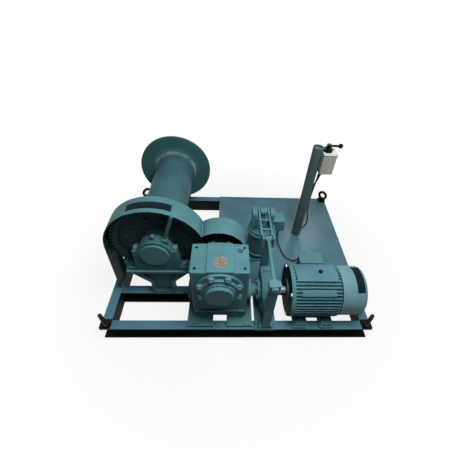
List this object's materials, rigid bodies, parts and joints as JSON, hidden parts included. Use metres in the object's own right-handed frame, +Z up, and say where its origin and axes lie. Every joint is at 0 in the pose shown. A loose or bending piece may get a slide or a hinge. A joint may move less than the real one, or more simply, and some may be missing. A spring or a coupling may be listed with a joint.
{
  "type": "construction winch",
  "caption": "Electric construction winch on a channel frame: motor, thruster brake, worm gearbox and open gears turn a plain rope drum; a post carries the control switch.",
  "frame": {"origin": "on the floor, at the centre of the overall footprint", "axes": "+X to the right along the frame's long side, +Y to the rear along the drum, +Z up"},
  "size_m": [1.4604, 1.1516, 0.7983],
  "materials": {
    "machine_paint": "gloss",
    "rail_black": "satin",
    "bare_steel": "satin",
    "cast_iron": "matte",
    "bronze": "satin",
    "core_steel": "matte",
    "cable_rubber": "matte",
    "black_plastic": "satin",
    "switch_grey": "satin"
  },
  "bodies": {
    "base": {"front_rail": "rail_black", "rear_rail": "rail_black", "left_rail": "rail_black", "right_rail": "rail_black", "mid_rail": "rail_black", "motor_rail": "rail_black", "deck_stringers": "rail_black", "deck_plates": "machine_paint", "eye_pads": "rail_black", "lifting_eyes": "rail_black", "front_pedestal": "machine_paint", "rear_pedestal": "machine_paint", "bearing_blocks": "machine_paint", "bearing_caps": "machine_paint", "bearing_bushes": "bronze", "gear_guard": "machine_paint", "guard_stay": "machine_paint", "gearbox_housing": "machine_paint", "gearbox_top_cover": "machine_paint", "gearbox_side_covers": "machine_paint", "bearing_end_caps": "machine_paint", "gearbox_bearings": "bare_steel", "oil_plugs": "machine_paint", "cover_bolts": "machine_paint", "motor_frame": "machine_paint", "drive_end_shield": "machine_paint", "fan_end_shield": "machine_paint", "fan_cowl": "machine_paint", "terminal_box": "machine_paint", "terminal_lid": "machine_paint", "motor_bearings": "bare_steel", "stator_core": "core_steel", "motor_bars": "machine_paint", "brake_base": "machine_paint", "thruster_body": "machine_paint", "control_post": "machine_paint", "switch_box": "switch_grey", "control_cables": "cable_rubber", "brake_cable": "cable_rubber", "cable_glands": "black_plastic", "hold_down_bolts": "machine_paint"},
    "drum_group": {"drum": "machine_paint", "main_shaft": "bare_steel", "bull_gear": "cast_iron"},
    "pinion_group": {"output_shaft": "bare_steel", "worm_wheel": "bronze", "pinion": "cast_iron"},
    "motor_line": {"worm_shaft": "bare_steel", "shaft_coupling": "machine_paint", "brake_drum": "machine_paint", "motor_rotor": "core_steel", "cooling_fan": "black_plastic"},
    "front_arm_group": {"front_arm": "machine_paint", "front_shoe": "machine_paint", "tie_rod": "machine_paint"},
    "rear_arm_group": {"rear_arm": "machine_paint", "rear_shoe": "machine_paint"},
    "lever": {"brake_lever": "machine_paint"},
    "lift_rod": {"thruster_rod": "machine_paint"},
    "handle": {"switch_handle": "black_plastic"}
  },
  "joints": [
    {"name": "motor_spin", "type": "hinge", "parent": "base", "child": "motor_line", "pos_m": [0.243, -0.40238, 0.249], "axis": [1, 0, 0], "continuous": true},
    {"name": "wheel_spin", "type": "hinge", "parent": "base", "child": "pinion_group", "pos_m": [-0.1, -0.40238, 0.389], "axis": [0, 1, 0], "continuous": true},
    {"name": "drum_spin", "type": "hinge", "parent": "base", "child": "drum_group", "pos_m": [-0.42301, -0.26238, 0.446], "axis": [0, 1, 0], "continuous": true},
    {"name": "front_arm_swing", "type": "hinge", "parent": "base", "child": "front_arm_group", "pos_m": [0.142, -0.54438, 0.128], "axis": [1, 0, 0], "range_deg": [0, 0.34]},
    {"name": "rear_arm_swing", "type": "hinge", "parent": "base", "child": "rear_arm_group", "pos_m": [0.142, -0.26038, 0.128], "axis": [-1, 0, 0], "range_deg": [0, 0.34]},
    {"name": "brake_release", "type": "hinge", "parent": "rear_arm_group", "child": "lever", "pos_m": [0.142, -0.26038, 0.46], "axis": [1, 0, 0], "range_deg": [0, 7.5]},
    {"name": "thruster_lift", "type": "slide", "parent": "base", "child": "lift_rod", "axis": [0, 0, 1], "range_m": [0, 0.0315]},
    {"name": "switch_turn", "type": "hinge", "parent": "base", "child": "handle", "pos_m": [0.4845, 0.17162, 0.754], "axis": [0, 0, 1], "range_deg": [-60, 60]}
  ],
  "couplings": [
    {"joint": "wheel_spin", "follows": "motor_spin", "ratio": 0.025},
    {"joint": "drum_spin", "follows": "motor_spin", "ratio": -0.010345},
    {"joint": "front_arm_swing", "follows": "brake_release", "ratio": 0.044},
    {"joint": "rear_arm_swing", "follows": "brake_release", "ratio": 0.044},
    {"joint": "thruster_lift", "follows": "brake_release", "m_per_rad": 0.2364}
  ]
}
